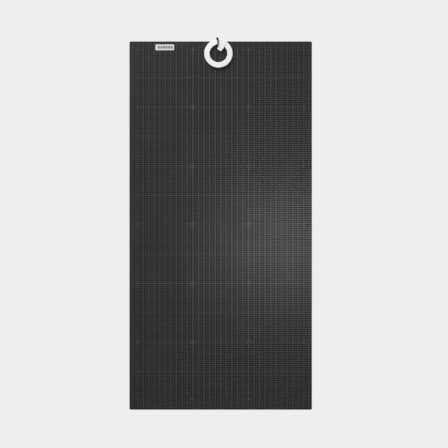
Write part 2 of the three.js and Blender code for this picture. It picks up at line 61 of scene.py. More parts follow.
sheet_low, sheet_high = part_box("front_sheet")
rear_low, rear_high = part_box("rear_sheet")
cell_low, cell_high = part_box("cell_b06")
next_column_low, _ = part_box("cell_c06")
first_row_low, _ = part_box("cell_b01")
second_row_low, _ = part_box("cell_b02")
cells_low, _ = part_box("cell_c12")
_, cells_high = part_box("cell_c01")
ring_low, ring_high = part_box("hang_ring")
pin_low, pin_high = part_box("gate_pin")
eyelet_low, eyelet_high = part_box("eyelet")
label_low, label_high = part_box("label")
tray_low, tray_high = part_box("junction_box_base")
lid_low, lid_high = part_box("junction_box_lid")

sheet_width = sheet_high.x - sheet_low.x
sheet_height = sheet_high.z - sheet_low.z
sheet_top = sheet_high.z
ring_centre = (ring_low + ring_high) / 2
ring_outer = (ring_high.z - ring_low.z) / 2
pin_centre = (pin_low + pin_high) / 2
eyelet_centre = (eyelet_low + eyelet_high) / 2

COLUMN_PITCH = next_column_low.x - cell_low.x
ROW_PITCH = first_row_low.z - second_row_low.z
CELL_HALF_WIDTH = (cell_high.x - cell_low.x) / 2
CELL_HEIGHT = cell_high.z - cell_low.z
CELL_CHAMFER = 8.25 * MM
WIRE_PITCH = CELL_HALF_WIDTH / 5
CORNER_RADIUS = 4 * MM

# Weave of the front sheet: bundles of glass fibre stand up as pillows, each meshed with a few samples.
WARP_COUNT = 66
WEFT_COUNT = 172
WARP_PITCH = sheet_width / WARP_COUNT
WEFT_PITCH = sheet_height / WEFT_COUNT
WARP_SAMPLES = 2
WEFT_SAMPLES = 4
WEFT_HEIGHT = 0.1 * MM
WARP_HEIGHT = 0.05 * MM
SECOND_WARP_DROP = 0.05 * MM
PILLOW_PROUD = 0.05 * MM

# Ring, gate and pin, as the CAD model makes them.
RING_HALF_DEPTH = (ring_high.y - ring_low.y) / 2
RING_BAND = 16 * MM
RING_EDGE = 1.75 * MM
KNUCKLE_RADIUS = 3 * MM
KNUCKLE_GAP = 0.3 * MM
PIN_HOLE_RADIUS = 1.5 * MM
TONGUE_HALF = 1.5 * MM
EAR_GAP = 0.25 * MM
GATE_REACH = 20.9 * MM
SEAM_GAP = 0.15 * MM

# Ease on the ring's and gate's edges that the CAD model leaves sharp, such as their seams.
RING_EDGE_EASE = 0.18 * MM
# How far a cutting tool reaches past what it cuts.
CUT_MARGIN = 1 * MM
# Steps of a smooth curve from one of its points to the next.
CURVE_STEPS = 24
# A cord's braid: its strands, the length of one turn, and the rounding of its ends.
BRAID_STRANDS = 8
BRAID_LAY = 7 * MM
BRAID_TIP_LENGTH = 1.2 * MM
BRAID_TIP_SHARE = 0.55

# -------- mesh helpers


def set_smooth(mesh, smooth):
    """Marks every face of a mesh as smooth or flat."""
    mesh.polygons.foreach_set("use_smooth", [smooth] * len(mesh.polygons))


def mesh_object(name, verts, faces, smooth=True):
    """A new object from vertices and faces in the model's frame."""
    mesh = bpy.data.meshes.new(name)
    mesh.from_pydata([tuple(v) for v in verts], [], [tuple(f) for f in faces])
    mesh.validate()
    if smooth:
        set_smooth(mesh, True)
    obj = bpy.data.objects.new(name, mesh)
    scene.collection.objects.link(obj)
    return obj


def apply_modifiers(obj):
    """Bakes an object's modifiers into its mesh."""
    graph = bpy.context.evaluated_depsgraph_get()
    mesh = bpy.data.meshes.new_from_object(obj.evaluated_get(graph), depsgraph=graph)
    obj.modifiers.clear()
    obj.data = mesh
    return obj


def boolean(obj, tool, operation):
    """Cuts, joins or intersects obj with tool, and removes the tool."""
    modifier = obj.modifiers.new(operation, "BOOLEAN")
    modifier.operation = operation
    modifier.solver = "MANIFOLD"
    modifier.object = tool
    apply_modifiers(obj)
    bpy.data.objects.remove(tool)
    return obj


def smooth_by_angle(obj, degrees):
    """Smooth shading, with edges sharper than the angle kept crisp."""
    set_smooth(obj.data, True)
    obj.data.set_sharp_from_angle(angle=math.radians(degrees))
    return obj


def bevel(obj, width, segments=3, degrees=30):
    """Rounds the edges of an object by a modifier, which leaves its own mesh as it is."""
    modifier = obj.modifiers.new("edge", "BEVEL")
    modifier.width = width
    modifier.segments = segments
    modifier.limit_method = "ANGLE"
    modifier.angle_limit = math.radians(degrees)
    modifier.harden_normals = True
    return obj


def crisp(obj, width):
    """Small rounded edges, with flat faces kept flat in the shading."""
    bevel(obj, width, segments=2, degrees=40)
    set_smooth(obj.data, True)
    weighted = obj.modifiers.new("normals", "WEIGHTED_NORMAL")
    weighted.keep_sharp = True
    weighted.weight = 100
    return apply_modifiers(obj)


def face_outward(obj):
    """Turns every face outward."""
    work = bmesh.new()
    work.from_mesh(obj.data)
    bmesh.ops.recalc_face_normals(work, faces=work.faces)
    work.to_mesh(obj.data)
    work.free()
    return obj


def loop_faces(loops, count, joined):
    """Quads between neighbouring loops of count points.

    Either the last loop is joined to the first, or both ends are capped.
    """
    faces = []
    for i in range(loops if joined else loops - 1):
        here, there = i * count, (i + 1) % loops * count
        for j in range(count):
            k = (j + 1) % count
            faces.append((here + j, here + k, there + k, there + j))
    if not joined:
        faces.append(tuple(range(count - 1, -1, -1)))
        faces.append(tuple((loops - 1) * count + j for j in range(count)))
    return faces


def lofted(name, loops):
    """A closed body through loops of equal length, capped at both ends."""
    verts = [point for loop in loops for point in loop]
    obj = mesh_object(name, verts, loop_faces(len(loops), len(loops[0]), joined=False))
    return smooth_by_angle(face_outward(obj), 35)


def turned(name, profile, segments, centre):
    """A body turned about the Y axis through centre. profile is (radius, y) and closes on itself."""
    angles = np.linspace(0, 2 * math.pi, segments, endpoint=False)
    verts = [
        (centre.x + r * math.cos(a), centre.y + y, centre.z + r * math.sin(a))
        for a in angles
        for r, y in profile
    ]
    return mesh_object(name, verts, loop_faces(segments, len(profile), joined=True))


def prism(name, outline, front, back):
    """An outline in (x, z), anticlockwise seen from the front, pushed along Y."""
    count = len(outline)
    verts = [(x, y, z) for y in (front, back) for x, z in outline]
    faces = [tuple(range(count)), tuple(range(2 * count - 1, count - 1, -1))]
    faces += [(k, count + k, count + (k + 1) % count, (k + 1) % count) for k in range(count)]
    return mesh_object(name, verts, faces, smooth=False)


def disc(name, radius, x, z, front, back, sides=64):
    """A solid cylinder along Y."""
    angles = [2 * math.pi * k / sides for k in range(sides)]
    circle = [(x + radius * math.cos(a), z + radius * math.sin(a)) for a in angles]
    return prism(name, circle, front, back)


def box_piece(name, low, high):
    """A solid box between its lowest and highest corner."""
    outline = [(low[0], low[2]), (high[0], low[2]), (high[0], high[2]), (low[0], high[2])]
    return prism(name, outline, low[1], high[1])


def arc(centre, radius, start, end, parts):
    """Points on an arc in a plane, from start to end in degrees."""
    return [
        (centre[0] + radius * math.cos(math.radians(a)), centre[1] + radius * math.sin(math.radians(a)))
        for a in np.linspace(start, end, parts + 1)
    ]


def rounded_rectangle(low_x, low_z, high_x, high_z, corner, parts):
    """The outline of a rectangle with round corners, anticlockwise seen from the front."""
    outline = []
    for x, z, start in (
        (high_x - corner, high_z - corner, 0),
        (low_x + corner, high_z - corner, 90),
        (low_x + corner, low_z + corner, 180),
        (high_x - corner, low_z + corner, 270),
    ):
        outline += arc((x, z), corner, start, start + 90, parts)
    return outline


def smooth_path(points, count):
    """A Catmull-Rom curve through points, sampled evenly along its length, and that length."""
    before, after = 2 * np.array(points[0]) - points[1], 2 * np.array(points[-1]) - points[-2]
    p = np.array([before, *points, after], float)
    fine = []
    for k in range(1, len(p) - 2):
        a, b, c, d = p[k - 1 : k + 3]
        linear, square, cube = c - a, 2 * a - 5 * b + 4 * c - d, 3 * b - a - 3 * c + d
        for t in np.linspace(0, 1, CURVE_STEPS, endpoint=False):
            fine.append(0.5 * (2 * b + linear * t + square * t**2 + cube * t**3))
    fine.append(p[-2])
    fine = np.array(fine)
    run = np.concatenate([[0], np.cumsum(np.linalg.norm(np.diff(fine, axis=0), axis=1))])
    even = np.linspace(0, run[-1], count)
    return np.stack([np.interp(even, run, fine[:, k]) for k in range(3)], 1), run[-1]


def swept_braid(name, path, length, radius, relief=0.3 * MM, sides=24):
    """A tube along a path with a braid's crossing strands. radius is one number, or one per point."""
    tangents = np.gradient(path, axis=0)
    tangents /= np.linalg.norm(tangents, axis=1)[:, None]
    normal = np.cross(tangents[0], [0.3, 0.2, 1])
    loops = []
    along = np.linspace(0, length, len(path))
    angles = np.linspace(0, 2 * math.pi, sides, endpoint=False)
    outer = np.broadcast_to(radius, len(path))
    for point, tangent, s, widest in zip(path, tangents, along, outer):
        normal = normal - tangent * np.dot(normal, tangent)
        normal /= np.linalg.norm(normal)
        across = np.cross(tangent, normal)
        turn = 2 * math.pi * s / BRAID_LAY
        left = np.cos(BRAID_STRANDS / 2 * (angles - turn))
        right = np.cos(BRAID_STRANDS / 2 * (angles + turn))
        r = widest - relief + relief * np.maximum(np.abs(left), np.abs(right))
        tip = min(1, BRAID_TIP_SHARE + min(s, length - s) / BRAID_TIP_LENGTH)
        spokes = np.outer(np.cos(angles), normal) + np.outer(np.sin(angles), across)
        loops.append(point + (r * tip)[:, None] * spokes)
    return mesh_object(name, np.concatenate(loops), loop_faces(len(loops), sides, joined=False))


def place(piece, body, slot, material, replaces=()):
    """Rides a piece on a body and gives it its material. The slot argument is not used."""
    piece.data.materials.clear()
    piece.data.materials.append(material)
    if body is not None:
        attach(piece, body)
    if replaces:
        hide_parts(*replaces)
    return piece


# -------- material helpers


class Graph:
    """A material with its Principled shader, and short calls for the nodes that feed it."""

    def __init__(self, name, roughness, specular=0.5, metallic=0.0):
        self.material = bpy.data.materials.new(name)
        self.material.use_nodes = True
        self.tree = self.material.node_tree
        self.shader = self.tree.nodes["Principled BSDF"]
        self.shader.inputs["Roughness"].default_value = roughness
        self.shader.inputs["Specular IOR Level"].default_value = specular
        self.shader.inputs["Metallic"].default_value = metallic
        coordinates = self.tree.nodes.new("ShaderNodeTexCoord")
        self.place = coordinates.outputs["Object"]
        split = self.tree.nodes.new("ShaderNodeSeparateXYZ")
        self.tree.links.new(self.place, split.inputs[0])
        self.x, self.y, self.z = split.outputs

    def feed(self, socket, value):
        """Links another node's output to a socket, or sets the socket's own value."""
        if isinstance(value, bpy.types.NodeSocket):
            self.tree.links.new(value, socket)
        else:
            socket.default_value = value

    def math(self, operation, *values):
        node = self.tree.nodes.new("ShaderNodeMath")
        node.operation = operation
        for socket, value in zip(node.inputs, values):
            self.feed(socket, value)
        return node.outputs[0]

    def add(self, a, b):
        return self.math("ADD", a, b)

    def minus(self, a, b):
        return self.math("SUBTRACT", a, b)

    def times(self, a, b):
        return self.math("MULTIPLY", a, b)

    def larger(self, a, b):
        return self.math("MAXIMUM", a, b)

    def size(self, value):
        return self.math("ABSOLUTE", value)

    def above(self, value, edge, soft):
        """0 below the edge and 1 above it, with a soft step."""
        return self.ramp(value, edge - soft, edge + soft, 0, 1)

    def spread(self, noise, out_low, out_high):
        """The middle of a noise's range, stretched over two numbers."""
        return self.ramp(noise, 0.3, 0.7, out_low, out_high)

    def ramp(self, value, low, high, out_low, out_high):
        """A smooth step from one number to another while value goes from low to high."""
        node = self.tree.nodes.new("ShaderNodeMapRange")
        node.interpolation_type = "SMOOTHSTEP"
        for index, number in enumerate((low, high, out_low, out_high)):
            node.inputs[index + 1].default_value = number
        self.tree.links.new(value, node.inputs[0])
        return node.outputs[0]

    def noise(self, scale, detail=3.0, stretch=(1, 1, 1)):
        """Noise in the object's own coordinates, from 0 to 1."""
        mapping = self.tree.nodes.new("ShaderNodeMapping")
        mapping.inputs["Scale"].default_value = stretch
        self.tree.links.new(self.place, mapping.inputs["Vector"])
        node = self.tree.nodes.new("ShaderNodeTexNoise")
        node.inputs["Scale"].default_value = scale
        node.inputs["Detail"].default_value = detail
        self.tree.links.new(mapping.outputs[0], node.inputs["Vector"])
        return node.outputs["Fac"]

    def mix(self, factor, low_colour, high_colour):
        """A colour between two colours."""
        node = self.tree.nodes.new("ShaderNodeMix")
        node.data_type = "RGBA"
        self.feed(node.inputs["Factor"], factor)
        for key, colour in (("A", low_colour), ("B", high_colour)):
            socket = next(s for s in node.inputs if s.name == key and s.type == "RGBA")
            self.feed(socket, colour if isinstance(colour, bpy.types.NodeSocket) else (*colour, 1))
        return next(s for s in node.outputs if s.type == "RGBA")

    def dimmed(self, colour, factor):
        """A colour dimmed or raised by a number."""
        node = self.tree.nodes.new("ShaderNodeVectorMath")
        node.operation = "SCALE"
        self.tree.links.new(colour, node.inputs[0])
        self.tree.links.new(factor, node.inputs["Scale"])
        return node.outputs[0]

    def colour(self, value):
        self.feed(self.shader.inputs["Base Color"], value)
        return self

    def roughness(self, value):
        self.feed(self.shader.inputs["Roughness"], value)
        return self

    def bump(self, height, distance, strength=1.0):
        """Fine relief, as deep as distance where height goes from 0 to 1."""
        node = self.tree.nodes.new("ShaderNodeBump")
        node.inputs["Distance"].default_value = distance
        node.inputs["Strength"].default_value = strength
        self.tree.links.new(height, node.inputs["Height"])
        self.tree.links.new(node.outputs[0], self.shader.inputs["Normal"])
        return self


def wave(graph, value, pitch):
    """|cos| of a length over a pitch: 1 on a pillow's crest and 0 in the groove between pillows."""
    return graph.size(graph.math("COSINE", graph.times(value, math.pi / pitch)))


def swell(graph, value, pitch):
    """A smooth wave of a length over a pitch: 1 on the crest and 0 in the hollow."""
    cosine = graph.math("COSINE", graph.times(value, 2 * math.pi / pitch))
    return graph.add(graph.times(cosine, 0.5), 0.5)


def busbar_wires(graph):
    """1 on the thin wires that run up the cells, and 0 between them."""
    return graph.above(wave(graph, graph.x, WIRE_PITCH), 0.985, 0.01)


def tint(colour, share):
    """A colour made darker or lighter, no lighter than white."""
    return [min(1, c * share) for c in colour]


# -------- materials

# The woven front: its tones, and how much each part of the weave adds to their brightness. The weave's
# crests are lighter and its hollows darker, partly the glass bundles' own tone over the dark cells and
# partly painted shade.
CELL_TONE = (0.028, 0.0281, 0.0287)
GAP_TONE = (0.059, 0.059, 0.06)
WIRE_TONE = (0.06, 0.06, 0.06)
MARGIN_TONE = (0.0305, 0.0305, 0.031)
GAP_SHARE, DIAMOND_SHARE, WIRE_SHARE = 0.35, 0.5, 0.4
WARP_SHADE, WEFT_SHADE, SECOND_WARP_SHADE = 0.05, 0.14, 0.32
CROSSING_SHADE, CREST_TONE_AND_PAINTED_SHADE = 0.14, 1.3
FIBRE_SHADE = (-0.52, -0.28)
CLOUD_SHADE = (0.94, 1.06)
DARKEST = 0.06
GROOVE_ROUGHNESS, CREST_ROUGHNESS = 1.0, 0.24
WEAVE_BUMP = 0.1 * MM


def cell_pattern(g, soft):
    """Masks of the gaps between cells, the diamonds at their cut corners, and the sheet's margin."""
    row_gap = (ROW_PITCH - CELL_HEIGHT) / 2
    centre_row = cells_high.z + row_gap - ROW_PITCH
    column = g.math("PINGPONG", g.size(g.add(g.x, COLUMN_PITCH * 1.5)), COLUMN_PITCH / 2)
    across = g.minus(COLUMN_PITCH / 2, column)
    pair = g.math("PINGPONG", g.size(g.minus(g.z, centre_row)), ROW_PITCH)
    beside = g.above(across, CELL_HALF_WIDTH, soft)
    pair_gap = g.above(pair, ROW_PITCH - row_gap, soft)
    half_gap = g.minus(1.0, g.above(pair, row_gap, soft))
    chamfer_line = CELL_HALF_WIDTH + ROW_PITCH - row_gap - CELL_CHAMFER
    diamond = g.above(g.add(across, pair), chamfer_line, soft)
    gap = g.larger(g.larger(beside, diamond), g.larger(pair_gap, half_gap))
    past_side = g.above(g.size(g.x), COLUMN_PITCH + CELL_HALF_WIDTH, soft)
    past_top = g.above(g.z, cells_high.z, soft)
    past_bottom = g.minus(1.0, g.above(g.z, cells_low.z, soft))
    return gap, diamond, g.larger(past_side, g.larger(past_top, past_bottom))


def woven_front_material():
    """Dark cells under a resin-filled glass weave, with lighter gaps, corner diamonds and fine wires."""
    g = Graph("woven_front", 0.36, 0.28)
    gap, diamond, margin = cell_pattern(g, 0.4 * MM)
    warp = swell(g, g.x, WARP_PITCH)
    weft = swell(g, g.z, WEFT_PITCH)
    second = swell(g, g.x, 2 * WARP_PITCH)
    fibres = g.noise(1.0, 4.0, (2600, 1, 420))
    cloud = g.noise(9.0, 3.0)
    wire = busbar_wires(g)
    tone = g.mix(g.times(gap, GAP_SHARE), CELL_TONE, GAP_TONE)
    tone = g.mix(g.times(diamond, DIAMOND_SHARE), tone, GAP_TONE)
    tone = g.mix(g.times(wire, WIRE_SHARE), tone, WIRE_TONE)
    tone = g.mix(margin, tone, MARGIN_TONE)
    # Painted shade, partly real tone: the colour is darkened in the weave's hollows and lighter on the
    # crests around them.
    hollow = g.times(g.minus(1.0, warp), g.minus(1.0, weft))
    over_under = g.times(
        g.math("COSINE", g.times(g.x, math.pi / WARP_PITCH)),
        g.math("COSINE", g.times(g.z, math.pi / WEFT_PITCH)),
    )
    shade = g.add(g.times(warp, WARP_SHADE), g.times(weft, WEFT_SHADE))
    shade = g.add(shade, g.times(second, SECOND_WARP_SHADE))
    shade = g.add(shade, g.times(over_under, CROSSING_SHADE))
    shade = g.add(shade, g.times(g.minus(1.0, hollow), CREST_TONE_AND_PAINTED_SHADE))
    shade = g.add(shade, g.spread(fibres, *FIBRE_SHADE))
    shade = g.times(shade, g.spread(cloud, *CLOUD_SHADE))
    g.colour(g.dimmed(tone, g.larger(shade, DARKEST)))
    g.roughness(g.ramp(weft, 0.45, 1.0, GROOVE_ROUGHNESS, CREST_ROUGHNESS))
    pillow = g.add(g.times(wave(g, g.x, WARP_PITCH), 0.4), g.times(wave(g, g.z, WEFT_PITCH), 0.6))
    relief = g.add(g.math("POWER", pillow, 0.6), g.times(fibres, 0.1))
    relief = g.add(relief, g.times(over_under, 0.2))
    return g.bump(relief, WEAVE_BUMP).material


def film_material(name, colour, roughness, weave_pitch):
    """Thin polymer film with a fine imprinted weave and faint handling marks."""
    g = Graph(name, roughness, 0.4)
    weave = g.add(wave(g, g.x, weave_pitch), wave(g, g.z, weave_pitch))
    cloud = g.noise(6.0, 3.0)
    marks = g.noise(90.0, 6.0, (1, 1, 0.5))
    tone = g.mix(g.spread(cloud, 0, 1), tint(colour, 0.96), tint(colour, 1.05))
    g.colour(g.dimmed(tone, g.ramp(weave, 0.4, 1.8, 0.8, 1.1)))
    g.roughness(g.ramp(marks, 0.3, 0.75, roughness - 0.02, roughness + 0.03))
    return g.bump(weave, 0.03 * MM).material


def moulded_material(name, colour, roughness, grain=2400.0):
    """Injection-moulded plastic: spark-eroded grain, faint flow marks and rubbed gloss."""
    g = Graph(name, roughness)
    fine = g.noise(grain, 2.0)
    flow = g.noise(35.0, 4.0, (1, 1, 0.4))
    g.colour(g.mix(g.spread(flow, 0, 1), tint(colour, 0.96), tint(colour, 1.03)))
    g.roughness(g.spread(flow, roughness - 0.05, roughness + 0.08))
    return g.bump(fine, 0.02 * MM, 0.6).material


def metal_material(name, colour, roughness, direction=(1, 1, 1), metallic=1.0):
    """Metal with drawn or turned lines and slight tarnish."""
    g = Graph(name, roughness, metallic=metallic)
    lines = g.noise(1.0, 3.0, direction)
    tarnish = g.noise(180.0, 4.0)
    g.colour(g.mix(g.ramp(tarnish, 0.35, 0.7, 0, 1), colour, tint(colour, 0.72)))
    g.roughness(g.spread(lines, roughness - 0.08, roughness + 0.12))
    return g.bump(lines, 0.01 * MM).material


def cell_material():
    """Monocrystalline silicon: blue-black, with fine printed fingers and silver wires."""
    g = Graph("cell", 0.3)
    fingers = g.above(wave(g, g.z, 1.3 * MM), 0.97, 0.02)
    wires = busbar_wires(g)
    cloud = g.noise(25.0, 3.0)
    tone = g.mix(cloud, (0.007, 0.009, 0.018), (0.011, 0.014, 0.028))
    tone = g.mix(g.times(fingers, 0.35), tone, (0.2, 0.2, 0.21))
    g.colour(g.mix(wires, tone, (0.55, 0.55, 0.54)))
    return g.bump(fingers, 0.01 * MM).material


def braid_material():
    """Black polyester braid: a faint sheen and fine fibres."""
    g = Graph("braid", 0.8, 0.2)
    fibre = g.noise(3800.0, 3.0)
    g.colour(g.mix(g.spread(fibre, 0, 1), (0.0015, 0.0015, 0.0016), (0.007, 0.007, 0.0073)))
    g.shader.inputs["Sheen Weight"].default_value = 0.08
    g.shader.inputs["Sheen Roughness"].default_value = 0.5
    return g.bump(fibre, 0.04 * MM).material


def seal_material(name, colour):
    """Soft elastomer with open pores."""
    g = Graph(name, 0.85, 0.3)
    pores = g.noise(900.0, 4.0)
    g.colour(g.mix(g.ramp(pores, 0.35, 0.6, 0, 1), tint(colour, 0.6), colour))
    return g.bump(pores, 0.05 * MM).material


woven_front = woven_front_material()
encapsulant = film_material("encapsulant", (0.014, 0.0145, 0.016), 0.4, 2 * MM)
back_film = film_material("back_film", (0.017, 0.017, 0.018), 0.52, 1.6 * MM)
cell = cell_material()
tinned = metal_material("tinned_copper", (0.72, 0.72, 0.7), 0.28, (500, 1, 60))
brass = metal_material("brass", (0.74, 0.56, 0.25), 0.3, (60, 60, 900))
steel = metal_material("steel_pin", (0.56, 0.57, 0.58), 0.32, (900, 60, 900))
black_metal = metal_material("black_oxide", (0.03, 0.03, 0.032), 0.38, (700, 700, 700), 0.6)
white_plastic = moulded_material("white_plastic", (0.8, 0.8, 0.8), 0.34)
white_label = moulded_material("white_label", (0.66, 0.66, 0.66), 0.42, 1500.0)
grey_ink = moulded_material("grey_ink", (0.2, 0.2, 0.2), 0.5, 1500.0)
black_plastic = moulded_material("black_plastic", (0.018, 0.018, 0.019), 0.5, 1300.0)
black_nylon = moulded_material("black_nylon", (0.014, 0.014, 0.015), 0.44, 1800.0)
diode_epoxy = moulded_material("diode_epoxy", (0.012, 0.012, 0.013), 0.36, 2600.0)
seal_foam = seal_material("seal_foam", (0.03, 0.03, 0.03))
sealant = seal_material("sealant", (0.02, 0.02, 0.021))
braid = braid_material()

# -------- laminate


def rounded_grid(columns, rows):
    """Grid points over the sheet's face, with the corners pulled onto their arcs."""
    xs = np.linspace(sheet_low.x, sheet_high.x, columns + 1)
    zs = np.linspace(sheet_low.z, sheet_high.z, rows + 1)
    gx, gz = np.meshgrid(xs, zs)
    inner_x = sheet_width / 2 - CORNER_RADIUS
    inner_z = sheet_height / 2 - CORNER_RADIUS
    centre_z = (sheet_low.z + sheet_high.z) / 2
    dx = np.maximum(np.abs(gx) - inner_x, 0)
    dz = np.maximum(np.abs(gz - centre_z) - inner_z, 0)
    reach = np.hypot(dx, dz)
    scale = np.where(reach > CORNER_RADIUS, CORNER_RADIUS / np.maximum(reach, 1e-9), 1)
    gx = np.where(dx > 0, np.sign(gx) * (inner_x + dx * scale), gx)
    gz = np.where(dz > 0, centre_z + np.sign(gz - centre_z) * (inner_z + dz * scale), gz)
    return gx, gz


def relief_slab(name, columns, rows, face_y, back_y):
    """A closed sheet whose face is a fine relief and whose back is flat."""
    gx, gz = rounded_grid(columns, rows)
    gy = face_y(gx, gz)
    wide, high = columns + 1, rows + 1
    index = np.arange(wide * high).reshape(high, wide)
    rim = np.concatenate([index[0, :-1], index[:-1, -1], index[-1, :0:-1], index[:0:-1, 0]])
    front = np.stack([gx, gy, gz], -1).reshape(-1, 3)
    back = front[rim].copy()
    back[:, 1] = back_y
    quads = np.stack([index[:-1, :-1], index[:-1, 1:], index[1:, 1:], index[1:, :-1]], -1).reshape(-1, 4)
    first = wide * high
    lower = np.arange(len(rim)) + first
    sides = np.stack([rim, lower, np.roll(lower, -1), np.roll(rim, -1)], -1)
    if gy.mean() > back_y:
        quads, sides, cap = quads[:, ::-1], sides[:, ::-1], lower
    else:
        cap = lower[::-1]
    faces = [*quads.tolist(), *sides.tolist(), cap.tolist()]
    obj = mesh_object(name, np.concatenate([front, back]), faces)
    return smooth_by_angle(obj, 50)


def eyelet_cutter():
    """A cylinder through the sheet, wide enough for the eyelet's barrel and hidden by its flanges."""
    radius = (eyelet_high.x - eyelet_low.x) / 2 * 0.68
    front, back = sheet_low.y - 2 * MM, 2 * MM
    return disc("cutter", radius, eyelet_centre.x, eyelet_centre.z, front, back, 32)


def woven_relief(x, z):
    """Crests of the weave: every second warp bundle lies a little lower."""
    warp = 0.5 - 0.5 * np.cos(2 * np.pi * x / WARP_PITCH)
    weft = 0.5 - 0.5 * np.cos(2 * np.pi * z / WEFT_PITCH)
    second = 0.5 - 0.5 * np.cos(np.pi * x / WARP_PITCH)
    drop = WARP_HEIGHT * warp + WEFT_HEIGHT * weft + SECOND_WARP_DROP * second
    return sheet_low.y - PILLOW_PROUD + drop


# How far the ribbons lift the rear film, and how far the film sinks between the cells.
RIBBON_LIFT, RIBBON_SHOULDER = 0.2 * MM, 3 * MM
SEAM_SINK, SEAM_WIDTH = 0.12 * MM, 2 * MM
REAR_FILM_DROP = 0.12 * MM
ROW_HALF_GAP = 2 * MM


def rear_relief(x, z):
    """The ribbons and the cells' edges telegraph through the rear film."""
    height = np.zeros_like(x)
    for left, right, low, high in ribbon_runs:
        inside = np.minimum(np.minimum(x - left, right - x), np.minimum(z - low, high - z))
        height = np.maximum(height, RIBBON_LIFT * np.clip(0.6 + inside / RIBBON_SHOULDER, 0, 1))
    column = np.abs((x + 1.5 * COLUMN_PITCH) % COLUMN_PITCH - COLUMN_PITCH / 2)
    row = np.abs((z - cells_high.z - ROW_HALF_GAP) % ROW_PITCH - ROW_PITCH / 2)
    seam = np.maximum(column - CELL_HALF_WIDTH + SEAM_WIDTH, row - CELL_HEIGHT / 2 + SEAM_WIDTH)
    beside = np.abs(x) < COLUMN_PITCH * 1.5
    active = beside & (z < cells_high.z + ROW_HALF_GAP) & (z > cells_low.z - ROW_HALF_GAP)
    height -= np.where(active, SEAM_SINK * np.clip(seam / SEAM_WIDTH, 0, 1), 0)
    return rear_high.y - REAR_FILM_DROP + height


_, plus_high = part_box("ribbon_plus")
minus_low, minus_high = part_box("ribbon_minus")
_, link_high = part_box("string_link_top")
bottom_low, bottom_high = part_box("string_link_bottom")
terminal_low, terminal_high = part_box("terminal_mid")
RUNNER = 6 * MM
runner_z = tray_low.z + (tray_high.z - tray_low.z) / 2 + 14 * MM
runner_low, runner_high = runner_z - RUNNER / 2, runner_z + RUNNER / 2
# Straight runs of the ribbons, as left, right, lowest and highest: plus, minus, centre tap, lower link.
ribbon_runs = [
    (-CELL_HALF_WIDTH - 14 * MM, -CELL_HALF_WIDTH - 8 * MM, runner_low, plus_high.z),
    (-CELL_HALF_WIDTH - 14 * MM, plus_high.x, runner_low, runner_high),
    (minus_high.x - RUNNER, minus_high.x, minus_low.z, runner_high),
    (tray_high.x, minus_high.x, runner_low, runner_high),
    (terminal_low.x + 3 * MM, terminal_high.x - 3 * MM, runner_z, link_high.z),
    (bottom_low.x, bottom_high.x, bottom_low.z, bottom_high.z),
]
REAR_COLUMNS, REAR_ROWS = 180, 363

columns, rows = WARP_COUNT * WARP_SAMPLES, WEFT_COUNT * WEFT_SAMPLES
front_face = relief_slab("front_face", columns, rows, woven_relief, sheet_high.y)
boolean(front_face, eyelet_cutter(), "DIFFERENCE")
place(front_face, "sheet", "woven_front", woven_front, ["front_sheet"])

rear_face = relief_slab("rear_face", REAR_COLUMNS, REAR_ROWS, rear_relief, rear_low.y)
boolean(rear_face, eyelet_cutter(), "DIFFERENCE")
place(rear_face, "sheet", "back_sheet", back_film, ["rear_sheet"])

# -------- ring, gate and pin


def band_profile():
    """Cross-section of the ring's band: rounded edges, and a faint parting ridge outside and inside."""
    half = RING_HALF_DEPTH
    outer = ring_outer
    inner = ring_outer - RING_BAND
    ridge = 0.08 * MM
    corners = [
        ((outer - RING_EDGE - ridge, RING_EDGE - half), -90),
        ((outer - RING_EDGE - ridge, half - RING_EDGE), 0),
        ((inner + RING_EDGE + ridge, half - RING_EDGE), 90),
        ((inner + RING_EDGE + ridge, RING_EDGE - half), 180),
    ]
    points = []
    for number, (centre, start) in enumerate(corners):
        points += arc(centre, RING_EDGE, start, start + 90, 8)
        if number in (0, 2):
            side = 1 if number == 0 else -1
            radius = outer - ridge if number == 0 else inner + ridge
            lift = ridge * side
            points += [(radius, -0.2 * MM * side), (radius + lift, -0.06 * MM * side)]
            points += [(radius + lift, 0.06 * MM * side), (radius, 0.2 * MM * side)]
    return points


def whole_band(name):
    """The ring's band all the way round, before the gate is parted from it."""
    return turned(name, band_profile(), 240, ring_centre)


def gate_space(grow):
    """The gate's space: within reach of the pin, left of the line from the ring's centre to it."""
    front, back = ring_low.y - CUT_MARGIN, ring_high.y + CUT_MARGIN
    reach = disc("reach", GATE_REACH + grow, pin_centre.x, pin_centre.z, front, back, 192)
    angle = math.atan2(pin_centre.z - ring_centre.z, pin_centre.x - ring_centre.x)
    along = Vector((math.cos(angle), 0, math.sin(angle)))
    left = Vector((-math.sin(angle), 0, math.cos(angle)))
    size = 0.2  # well past the ring
    corners = [
        ring_centre - along * size - left * grow,
        ring_centre + along * size - left * grow,
        ring_centre + along * size + left * size,
        ring_centre - along * size + left * size,
    ]
    side = prism("side", [(c.x, c.z) for c in corners], front, back)
    return boolean(reach, side, "INTERSECT")


def knuckle(radius, front, back):
    """A disc round the pin, between two depths counted from the ring's middle."""
    front, back = ring_centre.y + front, ring_centre.y + back
    return disc("knuckle", radius, pin_centre.x, pin_centre.z, front, back)


def hang_ring_piece():
    """The open band, with two ears for the pin and room between them for the gate's tongue."""
    half = RING_HALF_DEPTH
    room = TONGUE_HALF + EAR_GAP
    ring = boolean(whole_band("hang_ring_body"), gate_space(SEAM_GAP), "DIFFERENCE")
    boolean(ring, knuckle(KNUCKLE_RADIUS, -half, -room), "UNION")
    boolean(ring, knuckle(KNUCKLE_RADIUS, room, half), "UNION")
    boolean(ring, knuckle(KNUCKLE_RADIUS + KNUCKLE_GAP, -room, room), "DIFFERENCE")
    boolean(ring, knuckle(PIN_HOLE_RADIUS, -2 * half, 2 * half), "DIFFERENCE")
    return crisp(ring, RING_EDGE_EASE)


